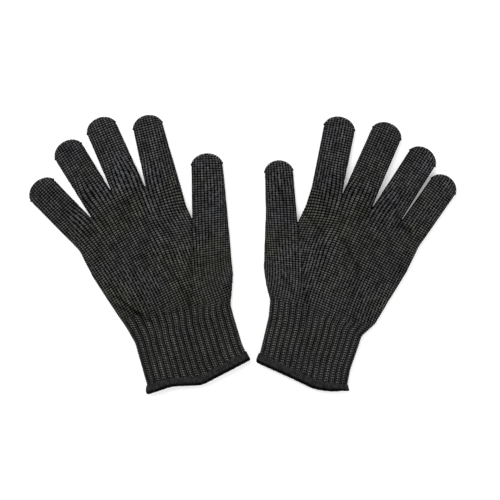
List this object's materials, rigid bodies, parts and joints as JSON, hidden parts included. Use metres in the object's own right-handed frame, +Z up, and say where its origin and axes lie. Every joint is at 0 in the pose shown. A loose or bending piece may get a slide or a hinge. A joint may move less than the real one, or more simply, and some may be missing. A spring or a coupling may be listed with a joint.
{
  "type": "cut-resistant glove pair",
  "caption": "Pair of black knitted cut-resistant work gloves lying flat, palms up and fingers spread, with long ribbed cuffs and bound hems.",
  "frame": {"origin": "on the table, under the middle of the pair's footprint", "axes": "+X from the right-hand glove to the left-hand glove, +Y from the cuffs towards the fingers, +Z up out of the palms"},
  "size_m": [0.3694, 0.2404, 0.011],
  "materials": {
    "body_knit": "plain 10 gauge knit of charcoal yarn round fine steel wire, slightly shiny loops",
    "digit_knit": "plain 10 gauge knit of charcoal yarn round fine steel wire, worked round each digit",
    "rib_knit": "charcoal rib knit with raised columns and dark valleys",
    "hem_thread": "matte black overlocked binding thread",
    "seam_thread": "matte black closing thread at the fingertips",
    "elastic_yarn": "dark covered elastic yarn"
  },
  "bodies": {
    "right_palm": {"right_palm": "body_knit"},
    "right_cuff": {"right_cuff": "rib_knit", "right_hem": "hem_thread", "right_elastic": "elastic_yarn"},
    "right_small_base": {"right_small_base": "digit_knit"},
    "right_small_middle": {"right_small_middle": "digit_knit"},
    "right_small_tip": {"right_small_tip": "digit_knit", "right_small_seam": "seam_thread"},
    "right_ring_base": {"right_ring_base": "digit_knit"},
    "right_ring_middle": {"right_ring_middle": "digit_knit"},
    "right_ring_tip": {"right_ring_tip": "digit_knit", "right_ring_seam": "seam_thread"},
    "right_middle_base": {"right_middle_base": "digit_knit"},
    "right_middle_middle": {"right_middle_middle": "digit_knit"},
    "right_middle_tip": {"right_middle_tip": "digit_knit", "right_middle_seam": "seam_thread"},
    "right_index_base": {"right_index_base": "digit_knit"},
    "right_index_middle": {"right_index_middle": "digit_knit"},
    "right_index_tip": {"right_index_tip": "digit_knit", "right_index_seam": "seam_thread"},
    "right_thumb_base": {"right_thumb_base": "digit_knit"},
    "right_thumb_tip": {"right_thumb_tip": "digit_knit", "right_thumb_seam": "seam_thread"},
    "left_palm": {"left_palm": "body_knit"},
    "left_cuff": {"left_cuff": "rib_knit", "left_hem": "hem_thread", "left_elastic": "elastic_yarn"},
    "left_small_base": {"left_small_base": "digit_knit"},
    "left_small_middle": {"left_small_middle": "digit_knit"},
    "left_small_tip": {"left_small_tip": "digit_knit", "left_small_seam": "seam_thread"},
    "left_ring_base": {"left_ring_base": "digit_knit"},
    "left_ring_middle": {"left_ring_middle": "digit_knit"},
    "left_ring_tip": {"left_ring_tip": "digit_knit", "left_ring_seam": "seam_thread"},
    "left_middle_base": {"left_middle_base": "digit_knit"},
    "left_middle_middle": {"left_middle_middle": "digit_knit"},
    "left_middle_tip": {"left_middle_tip": "digit_knit", "left_middle_seam": "seam_thread"},
    "left_index_base": {"left_index_base": "digit_knit"},
    "left_index_middle": {"left_index_middle": "digit_knit"},
    "left_index_tip": {"left_index_tip": "digit_knit", "left_index_seam": "seam_thread"},
    "left_thumb_base": {"left_thumb_base": "digit_knit"},
    "left_thumb_tip": {"left_thumb_tip": "digit_knit", "left_thumb_seam": "seam_thread"}
  },
  "joints": [
    {"name": "left_glove_lift", "type": "slide", "parent": "right_palm", "child": "left_palm", "axis": [0, 0, 1], "range_m": [0, 0.1]},
    {"name": "right_cuff_fold", "type": "hinge", "parent": "right_palm", "child": "right_cuff", "pos_m": [-0.05481, -0.05459, 0.011], "axis": [-0.9709, -0.2397, 0], "range_deg": [0, 80]},
    {"name": "right_small_base_fold", "type": "hinge", "parent": "right_palm", "child": "right_small_base", "pos_m": [-0.14727, 0.02793, 0.011], "axis": [0.891, 0.454, 0], "range_deg": [0, 80]},
    {"name": "right_small_middle_fold", "type": "hinge", "parent": "right_small_base", "child": "right_small_middle", "pos_m": [-0.15872, 0.03987, 0.011], "axis": [0.891, 0.454, 0], "range_deg": [0, 80]},
    {"name": "right_small_tip_fold", "type": "hinge", "parent": "right_small_middle", "child": "right_small_tip", "pos_m": [-0.16891, 0.05049, 0.011], "axis": [0.891, 0.454, 0], "range_deg": [0, 53.4]},
    {"name": "right_ring_base_fold", "type": "hinge", "parent": "right_palm", "child": "right_ring_base", "pos_m": [-0.12827, 0.0522, 0.011], "axis": [0.891, 0.454, 0], "range_deg": [0, 80]},
    {"name": "right_ring_middle_fold", "type": "hinge", "parent": "right_ring_base", "child": "right_ring_middle", "pos_m": [-0.13795, 0.06788, 0.011], "axis": [0.891, 0.454, 0], "range_deg": [0, 80]},
    {"name": "right_ring_tip_fold", "type": "hinge", "parent": "right_ring_middle", "child": "right_ring_tip", "pos_m": [-0.14656, 0.08181, 0.011], "axis": [0.891, 0.454, 0], "range_deg": [0, 53.4]},
    {"name": "right_middle_base_fold", "type": "hinge", "parent": "right_palm", "child": "right_middle_base", "pos_m": [-0.10291, 0.06512, 0.011], "axis": [0.891, 0.454, 0], "range_deg": [0, 80]},
    {"name": "right_middle_middle_fold", "type": "hinge", "parent": "right_middle_base", "child": "right_middle_middle", "pos_m": [-0.11109, 0.08358, 0.011], "axis": [0.891, 0.454, 0], "range_deg": [0, 80]},
    {"name": "right_middle_tip_fold", "type": "hinge", "parent": "right_middle_middle", "child": "right_middle_tip", "pos_m": [-0.11837, 0.09999, 0.011], "axis": [0.891, 0.454, 0], "range_deg": [0, 53.4]},
    {"name": "right_index_base_fold", "type": "hinge", "parent": "right_palm", "child": "right_index_base", "pos_m": [-0.07161, 0.06929, 0.011], "axis": [0.891, 0.454, 0], "range_deg": [0, 80]},
    {"name": "right_index_middle_fold", "type": "hinge", "parent": "right_index_base", "child": "right_index_middle", "pos_m": [-0.0762, 0.08715, 0.011], "axis": [0.891, 0.454, 0], "range_deg": [0, 80]},
    {"name": "right_index_tip_fold", "type": "hinge", "parent": "right_index_middle", "child": "right_index_tip", "pos_m": [-0.08028, 0.10303, 0.011], "axis": [0.891, 0.454, 0], "range_deg": [0, 53.4]},
    {"name": "right_thumb_base_fold", "type": "hinge", "parent": "right_palm", "child": "right_thumb_base", "pos_m": [-0.02853, 0.03591, 0.011], "axis": [0.9998, 0.0221, 0], "range_deg": [0, 70]},
    {"name": "right_thumb_tip_fold", "type": "hinge", "parent": "right_thumb_base", "child": "right_thumb_tip", "pos_m": [-0.02985, 0.06231, 0.011], "axis": [0.9969, 0.0785, 0], "range_deg": [0, 75]},
    {"name": "left_cuff_fold", "type": "hinge", "parent": "left_palm", "child": "left_cuff", "pos_m": [0.06301, -0.05557, 0.011], "axis": [-0.9315, 0.3638, 0], "range_deg": [0, 80]},
    {"name": "left_small_base_fold", "type": "hinge", "parent": "left_palm", "child": "left_small_base", "pos_m": [0.15252, 0.02852, 0.011], "axis": [0.9272, -0.3746, 0], "range_deg": [0, 80]},
    {"name": "left_small_middle_fold", "type": "hinge", "parent": "left_small_base", "child": "left_small_middle", "pos_m": [0.16174, 0.04188, 0.011], "axis": [0.9272, -0.3746, 0], "range_deg": [0, 80]},
    {"name": "left_small_tip_fold", "type": "hinge", "parent": "left_small_middle", "child": "left_small_tip", "pos_m": [0.16994, 0.05376, 0.011], "axis": [0.9272, -0.3746, 0], "range_deg": [0, 53.4]},
    {"name": "left_ring_base_fold", "type": "hinge", "parent": "left_palm", "child": "left_ring_base", "pos_m": [0.12767, 0.03964, 0.011], "axis": [0.9272, -0.3746, 0], "range_deg": [0, 80]},
    {"name": "left_ring_middle_fold", "type": "hinge", "parent": "left_ring_base", "child": "left_ring_middle", "pos_m": [0.13921, 0.05769, 0.011], "axis": [0.9272, -0.3746, 0], "range_deg": [0, 80]},
    {"name": "left_ring_tip_fold", "type": "hinge", "parent": "left_ring_middle", "child": "left_ring_tip", "pos_m": [0.14948, 0.07374, 0.011], "axis": [0.9272, -0.3746, 0], "range_deg": [0, 53.4]},
    {"name": "left_middle_base_fold", "type": "hinge", "parent": "left_palm", "child": "left_middle_base", "pos_m": [0.10107, 0.05093, 0.011], "axis": [0.9272, -0.3746, 0], "range_deg": [0, 80]},
    {"name": "left_middle_middle_fold", "type": "hinge", "parent": "left_middle_base", "child": "left_middle_middle", "pos_m": [0.11069, 0.07286, 0.011], "axis": [0.9272, -0.3746, 0], "range_deg": [0, 80]},
    {"name": "left_middle_tip_fold", "type": "hinge", "parent": "left_middle_middle", "child": "left_middle_tip", "pos_m": [0.11924, 0.09236, 0.011], "axis": [0.9272, -0.3746, 0], "range_deg": [0, 53.4]},
    {"name": "left_index_base_fold", "type": "hinge", "parent": "left_palm", "child": "left_index_base", "pos_m": [0.07382, 0.06194, 0.011], "axis": [0.9272, -0.3746, 0], "range_deg": [0, 80]},
    {"name": "left_index_middle_fold", "type": "hinge", "parent": "left_index_base", "child": "left_index_middle", "pos_m": [0.07794, 0.08202, 0.011], "axis": [0.9272, -0.3746, 0], "range_deg": [0, 80]},
    {"name": "left_index_tip_fold", "type": "hinge", "parent": "left_index_middle", "child": "left_index_tip", "pos_m": [0.0816, 0.09987, 0.011], "axis": [0.9272, -0.3746, 0], "range_deg": [0, 53.4]},
    {"name": "left_thumb_base_fold", "type": "hinge", "parent": "left_palm", "child": "left_thumb_base", "pos_m": [0.03333, 0.033, 0.011], "axis": [0.996, -0.0896, 0], "range_deg": [0, 70]},
    {"name": "left_thumb_tip_fold", "type": "hinge", "parent": "left_thumb_base", "child": "left_thumb_tip", "pos_m": [0.0315, 0.05629, 0.011], "axis": [0.9998, 0.0175, 0], "range_deg": [0, 75]}
  ]
}
